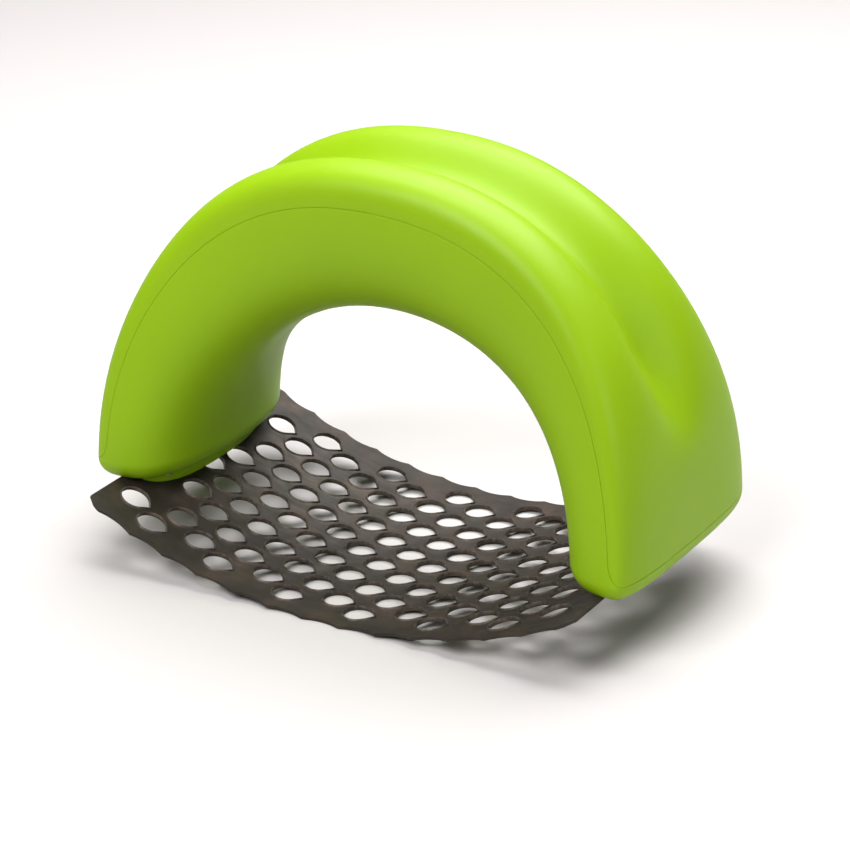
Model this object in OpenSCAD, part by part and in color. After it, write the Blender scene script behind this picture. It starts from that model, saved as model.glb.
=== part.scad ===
// Rocking garlic press: an arched two-shell handle that stands on a curved, perforated steel blade.
// X runs along the handle, Y from front to back, Z up. Z = 0 is the lowest point of the blade.

/* [Handle] */
// Length of the handle over the outside of both feet
handle_len = 100; // [90:1:120]
// Height of the handle from the bottom of the feet to its two crests
handle_h = 59.2; // [54:0.2:72]
// Width of the handle across the top of the arch
grip_w = 29.2; // [24:0.2:34]
// Width of each foot from front to back
foot_w = 43.5; // [40:0.5:50]
// Thickness of each foot along the handle
foot_t = 16; // [15:0.2:19]
// Thickness of the arch at its top, from the underside to the crests
crown_t = 26.4; // [24:0.2:33]
// Depth of the palm groove between the two crests
groove_d = 4.8; // [1:0.1:5.5]
// Half width of the palm groove
groove_w = 5.4; // [3:0.1:6.5]
// Radius round the bottom edge of each foot
foot_r = 3.5; // [2:0.1:4]
// How far the handle stands behind the middle of the blade
handle_back = 2.3; // [0:0.1:3]

/* [Shells] */
// Wall thickness of both shells
wall = 2.4; // [2:0.1:2.8]
// Height of the seam above the bottom of each foot
seam_h = 3.6; // [3.4:0.1:5]
// Radius with which the seam turns round the foot's corner
seam_r = 2.4; // [1.5:0.1:2.6]
// Height of the tongue that locates one shell in the other
tongue_h = 1.6; // [1:0.1:2]
// Clearance round the tongue and between the shells inside
tongue_gap = 0.15; // [0.1:0.05:0.25]
// Open line left along the seam
seam_gap = 0.1; // [0.05:0.05:0.2]
// Height of the solid block in the bottom of each foot
block_h = 8; // [7:0.5:11]
// Depth of the stiffening ribs inside the shells
rib_d = 3; // [2:0.5:4]

/* [Blade] */
// Width of the blade from front to back
blade_w = 56; // [54:0.2:68]
// Thickness of the blade's steel
blade_t = 0.5; // [0.4:0.1:0.8]
// Radius of the blade's curve
blade_r = 94.4; // [86:0.1:120]
// How far the blade's ends stop short of the outside of the feet
blade_inset = 6; // [5:0.1:7]
// How deep the blade's ends are sunk into the feet
blade_sunk = 0.3; // [0.1:0.1:1.5]
// Size of the chamfer across the blade's four corners
blade_chamfer = 1.6; // [0.8:0.1:2.4]
// Depth of the waves along the blade's two long edges
wave_d = 0.7; // [0.3:0.1:1]
// Distance between neighbouring holes
hole_pitch = 6.13; // [6:0.01:7]
// Width of each hole
hole_w = 4.8; // [4:0.1:5]
// Reach of the tooth notch beyond each hole's edge
notch_d = 0.8; // [0.4:0.1:1]
// Plain steel kept between the outermost holes and the blade's edges
hole_margin = 0.5; // [0.4:0.1:3]
// Plain steel kept along each long edge on top of that
edge_strip = 1.1; // [0.5:0.1:3]

/* [Screws] */
// Diameter of the screws that hold the shells together
shell_screw_d = 2.9; // [2.6:0.1:3.2]
// Length of those screws under the head
shell_screw_len = 13; // [11:0.5:14]
// Distance between the two shell screws of a foot
shell_screw_pitch = 11; // [10:0.5:12]
// How far the shell screws stand inside the outside of the feet
shell_screw_inset = 8; // [7.8:0.1:8.6]
// Diameter of the screws that hold the blade
blade_screw_d = 2.2; // [2:0.1:2.5]
// Length of those screws under the head
blade_screw_len = 5; // [4:0.5:5.5]
// Distance between the two blade screws of a foot
blade_screw_pitch = 26; // [24:0.5:28]
// Distance from the blade's ends to its screws
blade_screw_edge = 4.2; // [4:0.1:4.6]
// Radial clearance round each screw
screw_gap = 0.05; // [0.02:0.01:0.1]

/* [Hidden] */
$fn = 48;
skin_green = [0.62, 0.86, 0.05];
steel_brown = [0.24, 0.20, 0.17];
screw_grey = [0.62, 0.63, 0.64];

// Exponents of the superellipses: arch outside, arch inside, crest side and belly side of a section.
outer_n = 2.23;
inner_n = 2.02;
crest_n = 3.2;
belly_n = 2.6;
// Share of a section's thickness that lies inside the seam, and how fast the arch widens to its feet.
seam_k = 0.741;
flare_n = 4.1;
// Height, as a sine of the arch angle, over which the groove runs out above each foot.
groove_start = 0.25;
groove_full = 0.6;

half_len = handle_len / 2;
blade_end_x = half_len - blade_inset;
blade_end_a = asin(blade_end_x / blade_r);
blade_end_z = blade_r * (1 - cos(blade_end_a)) + blade_t / 2;
foot_z = blade_end_z - blade_sunk;
open_half = half_len - foot_t;
open_h = handle_h - crown_t;
blade_len = 2 * blade_r * blade_end_a * PI / 180;
blade_axis_z = blade_r + blade_t / 2;
seat_gap = 0.02;
end_gap = 0.3;
past = 1;

// The holes stand on a slanted lattice that repeats along X after two steps of a row and one of a column.
row_turn = 27.45;
column_turn = asin(2 * sin(row_turn));
lattice_x = hole_pitch * (2 * cos(row_turn) + cos(column_turn));
lattice_start = [0.2, -0.2];
wave_pitch = lattice_x / 2;
lattice_reach = ceil(blade_len / hole_pitch);

// The section of the arch at angle f, counted from the right foot, lies between these two points.
function spow(c, n) = sign(c) * pow(abs(c), 2 / n);
function outer_pt(f, e) = [(half_len - e) * spow(cos(f), outer_n), (handle_h - e) * spow(sin(f), outer_n)];
function inner_pt(f, e) = [(open_half + e) * spow(cos(f), inner_n), (open_h + e) * spow(sin(f), inner_n)];
function half_w(f) = grip_w / 2 + (foot_w - grip_w) / 2 * pow(abs(cos(f)), flare_n);
function thick(f) = norm(outer_pt(f, 0) - inner_pt(f, 0));
function ramp(s) = max(0, min(1, (s - groove_start) / (groove_full - groove_start)));
function smooth(u) = u * u * (3 - 2 * u);

// Share of the thickness, counted from the inside, at which the skin lies at section angle t.
function skin_k(f, t, y) =
    sin(t) < 0
    ? seam_k + seam_k * spow(sin(t), belly_n)
    : seam_k + spow(sin(t), crest_n) * (1 - seam_k
        - groove_d * smooth(ramp(sin(f))) * exp(-pow(y / groove_w, 2)) / thick(f));

// Inset that rounds the bottom edge of a foot, at height h above its bottom.
function foot_inset(h) = h < foot_r ? foot_r - sqrt(foot_r * foot_r - pow(foot_r - h, 2)) : 0;

// A point of the skin at arch angle f and section angle t, sunk by e below the surface.
function skin(f, t, e) =
    let (y = half_w(f) * spow(cos(t), sin(t) < 0 ? belly_n : crest_n),
         k = skin_k(f, t, y),
         h = inner_pt(f, 0)[1] + (outer_pt(f, 0)[1] - inner_pt(f, 0)[1]) * k,
         s = e + foot_inset(h),
         o = outer_pt(f, s),
         i = inner_pt(f, s),
         p = i + (o - i) * k)
    [p[0], handle_back + y * (half_w(f) - s) / half_w(f), foot_z + p[1]];

// Arch angle at which the outside of the handle is at height h, and the two ends of the seam.
function angle_at(h) = asin(pow(h / handle_h, outer_n / 2));
seam_f = angle_at(seam_h);
corner_f = angle_at(seam_h + 2 * seam_r);

// Section angle that lies d millimetres to the crest side of the widest point, or to the belly side.
function crest_t(f, d) = asin(pow(min(0.95, d / ((1 - seam_k) * thick(f))), crest_n / 2));
function belly_t(f, d) = -asin(pow(min(0.95, d / (seam_k * thick(f))), belly_n / 2));

// The seam leaves the widest point near a foot, to turn round the corner of the outer face.
function end_f(f) = min(f, 180 - f);
function seam_rise(f) =
    let (u = max(0, min(1, (corner_f - end_f(f)) / (corner_f - seam_f))))
    seam_r * (1 - sqrt(1 - u * u));

// Arch angles of the rings: close together where the seam turns, even over the rest of the arch.
corner_steps = 6;
arch_steps = 34;
ring_f = concat(
    [for (i = [0 : corner_steps - 1]) seam_f + (corner_f - seam_f) * i / corner_steps],
    [for (i = [0 : arch_steps]) corner_f + (180 - 2 * corner_f) * i / arch_steps],
    [for (i = [corner_steps - 1 : -1 : 0]) 180 - seam_f - (corner_f - seam_f) * i / corner_steps]);

// Joins rings of equally many points into a closed solid; cap lists the triangles of the first end.
module sweep(rings, cap) {
    n = len(rings[0]);
    last = (len(rings) - 1) * n;
    side = [for (r = [0 : len(rings) - 2]) for (j = [0 : n - 1]) for (half = [0, 1])
        let (a = r * n + j, b = r * n + (j + 1) % n)
        half == 0 ? [a, b, b + n] : [a, b + n, a + n]];
    ends = [for (c = cap) for (end = [0, 1])
        end == 0 ? c : [last + c[0], last + c[2], last + c[1]]];
    polyhedron(points = [for (r = rings) each r], faces = concat(side, ends));
}

// Section angle of the seam, moved d millimetres towards the crest.
function seam_t(f, d) = d < 0 ? belly_t(f, -d) : crest_t(f, d);
// Even steps from section angle a to section angle b.
row_steps = 20;
function row(a, b) = [for (j = [0 : row_steps]) a + (b - a) * j / row_steps];
function reversed(list) = [for (j = [len(list) - 1 : -1 : 0]) list[j]];

// Outer shell: skin over the crest side, and inside it a rebate along both seams.
draft = 0.5;
function outer_ring(f) =
    let (t0 = seam_t(f, seam_rise(f) + seam_gap / 2),
         t1 = seam_t(f, seam_rise(f) + tongue_h + tongue_gap),
         t2 = seam_t(f, seam_rise(f) + tongue_h + tongue_gap + draft),
         skin_row = concat([t0], row(t1, 180 - t1), [180 - t0]),
         wall_row = row(t2, 180 - t2))
    concat([for (t = skin_row) skin(f, t, 0)],
        [for (t = [180 - t0, 180 - t1]) skin(f, t, wall / 2)],
        [for (t = reversed(wall_row)) skin(f, t, wall)],
        [for (t = [t1, t0]) skin(f, t, wall / 2)]);
outer_last = 2 * row_steps + 7;
outer_cap = concat(
    [[0, outer_last, 1], [1, outer_last, outer_last - 1], [1, outer_last - 1, outer_last - 2]],
    [for (j = [0 : row_steps - 1]) for (half = [0, 1])
        let (p = 1 + j, q = outer_last - 2 - j)
        half == 0 ? [p, q, p + 1] : [p + 1, q, q - 1]],
    [[row_steps + 1, row_steps + 5, row_steps + 4], [row_steps + 1, row_steps + 4, row_steps + 3],
        [row_steps + 1, row_steps + 3, row_steps + 2]]);

// Inner shell: skin over the belly side, with a tongue inside each seam. Both ends are rooted in the floors.
root_e = 0.6;
root_f = angle_at(seam_h / 2);
function inner_ring(f) =
    let (e = end_f(f) < seam_f ? root_e : 0,
         seam = max(seam_f, min(180 - seam_f, f)),
         t0 = seam_t(seam, seam_rise(seam) - seam_gap / 2),
         t1 = seam_t(seam, seam_rise(seam) + tongue_h),
         skin_row = row(180 - t0, 360 + t0),
         tongue_e = wall / 2 + tongue_gap)
    concat([for (t = skin_row) skin(f, t, e)],
        [skin(f, t0, tongue_e), skin(f, t1, tongue_e), skin(f, t1, wall)],
        [for (j = [row_steps - 1 : -1 : 1]) skin(f, skin_row[j], wall)],
        [skin(f, 180 - t1, wall), skin(f, 180 - t1, tongue_e), skin(f, 180 - t0, tongue_e)]);
inner_last = 2 * row_steps + 5;
inner_cap = concat(
    [[inner_last, inner_last - 1, inner_last - 2], [inner_last, inner_last - 2, inner_last - 3],
        [0, inner_last, 1], [1, inner_last, inner_last - 3]],
    [for (j = [1 : row_steps - 2]) for (half = [0, 1])
        let (p = j, q = inner_last - 2 - j)
        half == 0 ? [p, q, p + 1] : [p + 1, q, q - 1]],
    [[row_steps, row_steps - 1, row_steps + 1], [row_steps - 1, row_steps + 4, row_steps + 1],
        [row_steps + 1, row_steps + 4, row_steps + 3], [row_steps + 1, row_steps + 3, row_steps + 2]]);

// Closed loft through whole sections, used for the bottom of each foot.
loft_steps = 2 * row_steps;
loft_t = [for (j = [0 : loft_steps - 1]) 360 * j / loft_steps];
loft_cap = [for (j = [1 : loft_steps - 2]) [0, j + 1, j]];
floor_heights = [0, 0.1, 0.4, 0.9, 1.6, 2.5, seam_h];
module foot_floor() {
    t0 = seam_t(seam_f, seam_rise(seam_f) - seam_gap / 2);
    crest_row = row(t0, 180 - t0);
    floor_t = concat(row(180 - t0, 360 + t0), [for (j = [1 : row_steps - 1]) crest_row[j]]);
    sweep([for (h = floor_heights) [for (t = floor_t) skin(angle_at(h), t, 0)]], loft_cap);
}

// Pad under a foot, set in from its bottom, that goes down to the blade and stops at the blade's end.
pad_inset = 0.4;
module foot_pad() {
    sweep([for (z = [foot_z / 2, foot_z + past]) [for (t = loft_t)
        let (p = skin(0, t - 90, pad_inset))
        [min(p[0], blade_end_x - pad_inset), p[1], z]]], loft_cap);
}

// Solid block on the floor: it stands clear of the outer shell and runs into the inner shell's wall.
function block_e(t) = t <= 180 ? wall + tongue_gap : wall / 2;
module foot_block() {
    sweep([for (h = [seam_h / 2, block_h / 2, block_h]) [for (t = loft_t) skin(angle_at(h), t, block_e(t))]],
        loft_cap);
}

module both_feet() {
    children();
    mirror([1, 0, 0]) children();
}

// Stiffening ribs: thin slices of a ring that stand in from the wall of one shell.
rib_f = [32, 70, 110, 148];
rib_a = 1.6;
rib_steps = 16;
rib_cap = [for (j = [0 : rib_steps - 1]) for (half = [0, 1])
    let (q = 2 * rib_steps + 1 - j)
    half == 0 ? [j, q, j + 1] : [j + 1, q, q - 1]];
module ribs(from, to) {
    rib_t = [for (j = [0 : rib_steps]) from + (to - from) * j / rib_steps];
    for (f = rib_f)
        sweep([for (side = [-0.5, 0.5]) concat(
            [for (t = rib_t) skin(f + side * rib_a, t, wall / 2)],
            [for (t = reversed(rib_t)) skin(f + side * rib_a, t, wall + rib_d)])], rib_cap);
}

// Places children on the inside of the arch at angle f, with +Z pointing out through the section.
module on_arch(f) {
    i = inner_pt(f, 0);
    way = outer_pt(f, 0) - i;
    translate([i[0], handle_back, foot_z + i[1]]) rotate([0, atan2(way[0], way[1]), 0]) children();
}

// Places children on the middle of the blade's thickness, s along its curve and y back from its centre.
module on_blade(s, y) {
    translate([0, 0, blade_axis_z]) rotate([0, -s / blade_r * 180 / PI, 0])
        translate([0, y, -blade_r]) children();
}

// Posts on the outer shell that plug into sockets on the inner shell.
post_f = [52, 90, 128];
post_r = 2.6;
socket_wall = 1.5;
function post_low(f) = thick(f) * 0.36;
function socket_top(f) = thick(f) * 0.6;
module posts() {
    for (f = post_f)
        on_arch(f) translate([0, 0, post_low(f)])
            cylinder(h = thick(f) * skin_k(f, 90, 0) - wall / 2 - post_low(f), r = post_r);
}
module sockets() {
    for (f = post_f)
        on_arch(f) translate([0, 0, wall / 2])
            cylinder(h = socket_top(f) - wall / 2, r = post_r + screw_gap + socket_wall);
}
module socket_bores() {
    for (f = post_f)
        on_arch(f) translate([0, 0, post_low(f) - past])
            cylinder(h = socket_top(f) - post_low(f) + 2 * past, r = post_r + screw_gap);
}

// Shell screws: straight up through the foot's block into a boss of the outer shell.
shell_screw_x = half_len - shell_screw_inset;
shell_head_d = shell_screw_d * 1.85;
shell_head_h = shell_screw_d * 0.6;
shell_head_z = foot_z + 3;
block_top_z = foot_z + block_h;
boss_r = shell_screw_d / 2 + 1.9;
boss_top_z = shell_head_z + shell_screw_len + 1.2;
web_t = 2;
web_end_x = outer_pt(angle_at(boss_top_z - foot_z), wall / 2)[0];
module at_shell_screws() {
    for (side = [-0.5, 0.5])
        translate([shell_screw_x, handle_back + side * shell_screw_pitch, 0]) children();
}
module shell_bosses() {
    at_shell_screws() {
        translate([0, 0, block_top_z + tongue_gap]) cylinder(h = boss_top_z - block_top_z, r = boss_r);
        translate([0, -web_t / 2, block_top_z + tongue_gap])
            cube([web_end_x - shell_screw_x, web_t, boss_top_z - block_top_z]);
    }
}
module shell_screw_bores() {
    at_shell_screws()
        cylinder(h = shell_head_z + shell_screw_len + 0.6, r = shell_screw_d / 2 + screw_gap);
}

// Blade screws: square to the blade, through it and into the foot's block.
blade_screw_s = blade_len / 2 - blade_screw_edge;
blade_head_d = blade_screw_d * 1.8;
blade_head_h = blade_screw_d * 0.5;
module at_blade_screws() {
    for (side = [-0.5, 0.5])
        on_blade(blade_screw_s, handle_back + side * blade_screw_pitch) children();
}
module blade_screw_bores() {
    at_blade_screws() translate([0, 0, -past])
        cylinder(h = blade_screw_len + past, r = blade_screw_d / 2 + screw_gap);
}

// Everything below the top face of the blade, and of the end of the blade's bed in the foot.
module blade_bed() {
    difference() {
        translate([0, -foot_w, -past]) cube([blade_end_x + end_gap, 3 * foot_w, foot_z + foot_t]);
        translate([0, 2 * foot_w + past, blade_axis_z]) rotate([90, 0, 0])
            cylinder(h = 3 * foot_w + 2 * past, r = blade_r - blade_t / 2 - seat_gap, $fn = 240);
    }
}

// A round-cornered screw head and its shank, head down, with the head's seat at Z = 0.
module screw(d, len, head_d, head_h) {
    recess_w = head_d * 0.6;
    difference() {
        union() {
            translate([0, 0, -head_h]) cylinder(h = head_h, r = head_d / 2);
            cylinder(h = len - d, r = d / 2);
            translate([0, 0, len - d]) cylinder(h = d, r1 = d / 2, r2 = d / 6);
        }
        for (turn = [0, 90])
            rotate(turn) translate([-recess_w / 2, -recess_w / 8, -head_h - past])
                cube([recess_w, recess_w / 4, past + head_h * 0.6]);
    }
}

module outer_shell() {
    color(skin_green) difference() {
        union() {
            sweep([for (f = ring_f) outer_ring(f)], outer_cap);
            ribs(30, 150);
            posts();
            both_feet() shell_bosses();
        }
        both_feet() shell_screw_bores();
    }
}

module inner_shell() {
    color(skin_green) difference() {
        union() {
            sweep([for (f = concat(root_f, ring_f, 180 - root_f)) inner_ring(f)], inner_cap);
            ribs(190, 350);
            sockets();
            both_feet() {
                foot_floor();
                foot_pad();
                foot_block();
            }
        }
        socket_bores();
        both_feet() {
            blade_bed();
            shell_screw_bores();
            at_shell_screws() cylinder(h = shell_head_z, r = shell_head_d / 2 + 2 * tongue_gap);
            blade_screw_bores();
        }
    }
}

// One hole of the blade, with its tooth notch pointing along +X.
module tooth_hole() {
    notch_half = hole_w / 4;
    translate([0, 0, -blade_t]) linear_extrude(2 * blade_t) {
        circle(d = hole_w);
        polygon([[hole_w / 2 + notch_d, 0], [hole_w / 3, notch_half], [hole_w / 3, -notch_half]]);
    }
}

// A hole is cut where it stays inside the edges and clear of the blade's screws.
function hole_at(i, j) = lattice_start + hole_pitch
    * [i * cos(row_turn) + j * cos(column_turn), j * sin(column_turn) - i * sin(row_turn)];
function near_screw(p) = min([for (side = [-0.5, 0.5])
    norm([abs(p[0]) - blade_screw_s, p[1] - handle_back - side * blade_screw_pitch])])
    < hole_w / 2 + notch_d + blade_head_d / 2;
function hole_fits(p) =
    abs(p[0]) < blade_len / 2 - hole_w / 2 - hole_margin
    && abs(p[1]) < blade_w / 2 - wave_d - hole_w / 2 - hole_margin - edge_strip
    && !near_screw(p);

module blade() {
    wave_r = (wave_pitch * wave_pitch / 4 + wave_d * wave_d) / (2 * wave_d);
    wave_last = ceil(blade_len / wave_pitch / 2);
    color(steel_brown) difference() {
        translate([0, blade_w / 2, blade_axis_z]) rotate([90, 0, 0]) intersection() {
            difference() {
                cylinder(h = blade_w, r = blade_r + blade_t / 2, $fn = 240);
                translate([0, 0, -past])
                    cylinder(h = blade_w + 2 * past, r = blade_r - blade_t / 2, $fn = 240);
            }
            translate([0, 0, -past]) linear_extrude(blade_w + 2 * past)
                polygon([[0, 0], 2 * blade_r * [-sin(blade_end_a), -cos(blade_end_a)],
                    2 * blade_r * [sin(blade_end_a), -cos(blade_end_a)]]);
        }
        for (n = [-wave_last : wave_last]) for (side = [-1, 1])
            on_blade(n * wave_pitch, side * (blade_w / 2 + wave_r - wave_d))
                translate([0, 0, -blade_t]) cylinder(h = 2 * blade_t, r = wave_r);
        both_feet() for (side = [-1, 1]) on_blade(blade_len / 2, side * blade_w / 2)
            rotate(side * 45) translate([-blade_chamfer / sqrt(2), -foot_w / 2, -past])
                cube([foot_w, foot_w, 2 * past]);
        for (i = [-lattice_reach : lattice_reach]) for (j = [-lattice_reach : lattice_reach])
            let (p = hole_at(i, j))
            if (hole_fits(p)) on_blade(p[0], p[1]) tooth_hole();
        both_feet() at_blade_screws() translate([0, 0, -past])
            cylinder(h = 2 * past, r = blade_screw_d / 2 + screw_gap);
    }
}

module shell_screws() {
    color(screw_grey) both_feet() at_shell_screws() translate([0, 0, shell_head_z])
        screw(shell_screw_d, shell_screw_len, shell_head_d, shell_head_h);
}

module blade_screws() {
    color(screw_grey) both_feet() at_blade_screws() translate([0, 0, -blade_t / 2])
        screw(blade_screw_d, blade_screw_len, blade_head_d, blade_head_h);
}

outer_shell();
inner_shell();
blade();
shell_screws();
blade_screws();
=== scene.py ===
import math

import bmesh
import bpy
import numpy as np
from bpy.props import FloatProperty, FloatVectorProperty, IntProperty, PointerProperty
from bpy.types import Operator, Panel, PropertyGroup
from mathutils import Matrix, Vector


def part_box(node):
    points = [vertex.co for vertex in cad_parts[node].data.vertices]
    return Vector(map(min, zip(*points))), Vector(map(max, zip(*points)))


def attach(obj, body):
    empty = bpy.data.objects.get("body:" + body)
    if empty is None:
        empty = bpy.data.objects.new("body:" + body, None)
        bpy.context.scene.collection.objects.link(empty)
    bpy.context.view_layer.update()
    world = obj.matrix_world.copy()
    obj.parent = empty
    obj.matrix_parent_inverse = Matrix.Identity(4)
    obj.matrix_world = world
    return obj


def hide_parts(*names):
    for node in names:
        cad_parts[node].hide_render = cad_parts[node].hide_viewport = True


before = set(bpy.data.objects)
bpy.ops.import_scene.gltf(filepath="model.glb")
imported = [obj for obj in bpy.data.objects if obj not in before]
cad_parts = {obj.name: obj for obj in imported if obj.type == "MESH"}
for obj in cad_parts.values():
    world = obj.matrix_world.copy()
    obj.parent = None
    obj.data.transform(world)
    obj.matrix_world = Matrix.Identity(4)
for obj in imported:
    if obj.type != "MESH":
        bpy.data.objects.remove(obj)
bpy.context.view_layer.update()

bl_info = {
    "name": "Rocking Garlic Press",
    "version": (1, 0, 0),
    "blender": (4, 5, 0),
    "location": "3D View > Sidebar > Garlic Press",
    "description": "Builds a rocking garlic press: a two-shell arched handle on a curved, perforated blade",
    "category": "Add Mesh",
}

HANDLE_LOW, HANDLE_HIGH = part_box("outer_shell")
BLADE_LOW, BLADE_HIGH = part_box("blade")
MM = 0.001
# The heads of the shell screws stand 1.26 mm above the bottom of the feet.
HEAD_SUNK = 1.26 * MM
FOOT_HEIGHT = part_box("shell_screws")[0].z - HEAD_SUNK
# Clearance round the tongue, depth of the ribs, and the inset of the pads under the feet.
TONGUE_GAP, RIB_DEPTH, PAD_INSET = 0.15 * MM, 3 * MM, 0.4 * MM
# Where the screws stand: in from the feet's outside or the blade's ends, and off the handle's middle line.
SHELL_SCREW_INSET, SHELL_SCREW_SEAT, SHELL_SCREW_SPREAD = 8 * MM, 3 * MM, 5.5 * MM
BLADE_SCREW_EDGE, BLADE_SCREW_SPREAD = 4.2 * MM, 13 * MM
# Head width and height of each screw, as shares of its shank.
SHELL_HEAD, BLADE_HEAD = (1.85, 0.6), (1.8, 0.5)


def length(name, text, default, low=0.0, high=1.0):
    return FloatProperty(
        name=name, description=text, default=default, min=low, max=high, unit="LENGTH", precision=5
    )


class HandleSizes(PropertyGroup):
    span: length("Length", "Length over the outside of both feet", HANDLE_HIGH.x - HANDLE_LOW.x)
    rise: length("Height", "Height from the bottom of the feet to the crests", 59.18 * MM)
    lift: length("Foot height", "Height of the bottom of the feet above the board", FOOT_HEIGHT)
    back: length(
        "Set back",
        "How far the handle stands behind the middle of the blade",
        (HANDLE_LOW.y + HANDLE_HIGH.y) / 2,
    )
    grip_width: length("Grip width", "Width across the top of the arch", 29.2 * MM)
    foot_width: length("Foot width", "Width of each foot from front to back", 43.5 * MM)
    foot_depth: length("Foot thickness", "Thickness of each foot along the handle", 16 * MM)
    crown: length("Crown thickness", "Thickness of the arch at its top", 26.4 * MM)
    foot_radius: length("Foot radius", "Radius round the bottom edge of each foot", 3.5 * MM)
    groove_depth: length("Groove depth", "Depth of the palm groove", 4.8 * MM)
    groove_width: length("Groove half width", "Half width of the palm groove", 5.4 * MM)
    wall: length("Wall", "Wall thickness of both shells", 2.4 * MM)
    seam_height: length("Seam height", "Height of the seam above the bottom of each foot", 3.6 * MM)
    seam_turn: length("Seam turn", "Radius with which the seam turns round a foot's corner", 2.4 * MM)
    seam_gap: length("Seam gap", "Open line left along the seam", 0.0)
    lip: length("Seam lip radius", "Radius of the moulded edges along the seam", 0.11 * MM)
    tongue: length("Tongue height", "Height of the tongue that locates the shells", 1.6 * MM)


class BladeSizes(PropertyGroup):
    depth: length("Depth", "Size of the blade from front to back", BLADE_HIGH.y - BLADE_LOW.y)
    reach: length("Half length", "Distance from the middle to each end, measured level", BLADE_HIGH.x)
    sheet: length("Sheet thickness", "Thickness of the steel", 0.5 * MM)
    radius: length("Curve radius", "Radius of the blade's curve", 94.4 * MM)
    chamfer: length("Corner chamfer", "Chamfer across the four corners", 1.6 * MM)
    wave: length("Wave depth", "Depth of the waves along the long edges", 0.7 * MM)
    pitch: length("Hole pitch", "Distance between neighbouring holes", 6.13 * MM)
    hole: length("Hole width", "Width of each hole", 4.8 * MM)
    notch: length("Tooth notch", "Reach of the tooth notch beyond the hole", 0.8 * MM)
    rim: length("Rim height", "How far the punched rim stands above the sheet", 0.26 * MM)
    strip: length("Edge strip", "Plain steel kept along the edges", 1.6 * MM)
    row_turn: FloatProperty(
        name="Row turn", description="Turn of a row of holes", default=math.radians(27.45), unit="ROTATION"
    )


class ScrewSizes(PropertyGroup):
    shell_shank: length("Shell screw", "Shank diameter of the shell screws", 2.9 * MM)
    shell_length: length("Shell screw length", "Length of the shell screws under the head", 13 * MM)
    blade_shank: length("Blade screw", "Shank diameter of the blade screws", 2.2 * MM)
    blade_length: length("Blade screw length", "Length of the blade screws under the head", 5 * MM)
    thread: length("Thread pitch", "Distance between two turns of the thread", 0.9 * MM)
    turns: IntProperty(
        name="Thread sides", description="Points round one turn of thread", default=20, min=8, max=64
    )


def colour(name, text, default):
    return FloatVectorProperty(
        name=name, description=text, default=default, size=3, min=0, max=1, subtype="COLOR"
    )


class Finishes(PropertyGroup):
    plastic: colour("Handle plastic", "Colour of the handle", (0.205, 0.355, 0.0006))
    steel: colour("Blade steel", "Colour of the dark blade", (0.024, 0.0165, 0.012))
    zinc: colour("Screw zinc", "Colour of the screws", (0.52, 0.53, 0.54))
    board: colour("Board", "Colour of the surface that the press stands on", (0.5, 0.475, 0.47))


# Exponents of the rounded shapes: arch outside, arch inside, crest side and belly side of a section, flare.
ARCH_OUT, ARCH_IN, CREST, BELLY, FLARE = 2.23, 2.02, 3.2, 2.6, 4.1
# Share of a section's thickness inside the seam, and the arch sines over which the groove runs out.
SEAM_SHARE, GROOVE_START, GROOVE_FULL = 0.741, 0.25, 0.6


def rounded(c, n):
    return np.sign(c) * np.abs(c) ** (2 / n)


class Arch:
    """The rule that the handle's surface follows, at arch angle f and a place (across, up) on its section."""

    def __init__(self, sizes):
        self.s = sizes

    def outside(self, f, sink):
        s = self.s
        return (
            (s.span / 2 - sink) * rounded(np.cos(f), ARCH_OUT),
            (s.rise - sink) * rounded(np.sin(f), ARCH_OUT),
        )

    def inside(self, f, sink):
        s = self.s
        return (
            (s.span / 2 - s.foot_depth + sink) * rounded(np.cos(f), ARCH_IN),
            (s.rise - s.crown + sink) * rounded(np.sin(f), ARCH_IN),
        )

    def thickness(self, f):
        (ox, oz), (ix, iz) = self.outside(f, 0), self.inside(f, 0)
        return np.hypot(ox - ix, oz - iz)

    def half_width(self, f):
        s = self.s
        return s.grip_width / 2 + (s.foot_width - s.grip_width) / 2 * np.abs(np.cos(f)) ** FLARE

    def angle(self, height):
        return math.asin((max(height, 0.0) / self.s.rise) ** (ARCH_OUT / 2))

    def skin(self, f, across, up, sink=0.0):
        s = self.s
        f, across, up, sink = np.broadcast_arrays(f, across, up, sink)
        half = self.half_width(f)
        y = half * across
        ramp = np.clip((np.sin(f) - GROOVE_START) / (GROOVE_FULL - GROOVE_START), 0, 1)
        depth = s.groove_depth * ramp * ramp * (3 - 2 * ramp)
        groove = depth * np.exp(-((y / s.groove_width) ** 2)) / self.thickness(f)
        share = np.where(up < 0, SEAM_SHARE * (1 + up), SEAM_SHARE + up * (1 - SEAM_SHARE - groove))
        oz, iz = self.outside(f, 0)[1], self.inside(f, 0)[1]
        height = iz + (oz - iz) * share
        r = s.foot_radius
        below = np.clip(r - height, 0, r)
        inset = sink + r - np.sqrt(r * r - below * below)
        (ox, oz), (ix, iz) = self.outside(f, inset), self.inside(f, inset)
        return np.stack(
            [ix + (ox - ix) * share, s.back + y * (half - inset) / half, s.lift + iz + (oz - iz) * share], -1
        )

    def seam_rise(self, f):
        s = self.s
        first, last = self.angle(s.seam_height), self.angle(s.seam_height + 2 * s.seam_turn)
        u = np.clip((last - np.minimum(f, np.pi - f)) / (last - first), 0, 1)
        return s.seam_turn * (1 - np.sqrt(1 - u * u))

    def up_at(self, f, d):
        """Height on the section of the point d past the seam, towards the crest or, below zero, the belly."""
        share = np.where(d < 0, SEAM_SHARE, 1 - SEAM_SHARE)
        return np.clip(d / (share * self.thickness(f)), -0.95, 0.95)


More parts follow.
